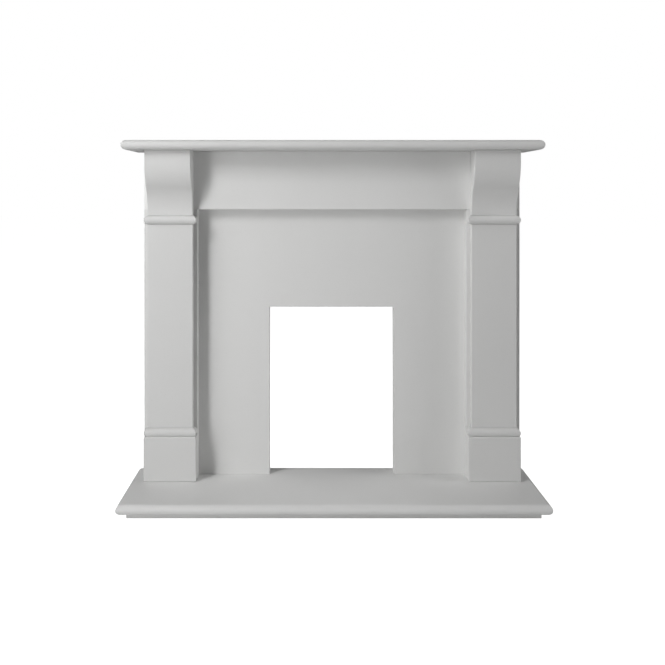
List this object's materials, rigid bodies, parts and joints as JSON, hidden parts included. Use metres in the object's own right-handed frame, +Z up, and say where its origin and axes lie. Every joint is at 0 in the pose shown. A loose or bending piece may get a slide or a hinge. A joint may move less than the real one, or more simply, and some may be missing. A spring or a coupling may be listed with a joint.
{
  "type": "limestone fireplace",
  "caption": "Limestone fireplace with a bullnosed shelf on S-curved corbels, plain pilaster legs, a flat frieze, a back panel cut out for a fire, and a bullnosed hearth.",
  "frame": {"origin": "on the floor, under the middle of the hearth: halfway between its front edge and the wall, and between its ends", "axes": "+X to the right as seen from the room, +Y from the room into the wall, +Z up; the front faces -Y"},
  "size_m": [1.335, 0.381, 1.149],
  "materials": {
    "surround_limestone": "honed, with eased arrises",
    "panel_limestone": "honed",
    "hearth_limestone": "honed, with a worked bullnose"
  },
  "bodies": {
    "root": {"hearth_base": "hearth_limestone", "hearth_slab": "hearth_limestone", "back_panel": "panel_limestone", "left_jamb": "surround_limestone", "left_foot_block": "surround_limestone", "left_base_bead": "surround_limestone", "left_shaft": "surround_limestone", "left_neck_bead": "surround_limestone", "left_corbel": "surround_limestone", "right_jamb": "surround_limestone", "right_foot_block": "surround_limestone", "right_base_bead": "surround_limestone", "right_shaft": "surround_limestone", "right_neck_bead": "surround_limestone", "right_corbel": "surround_limestone", "frieze": "surround_limestone", "mantel_shelf": "surround_limestone"}
  },
  "joints": []
}
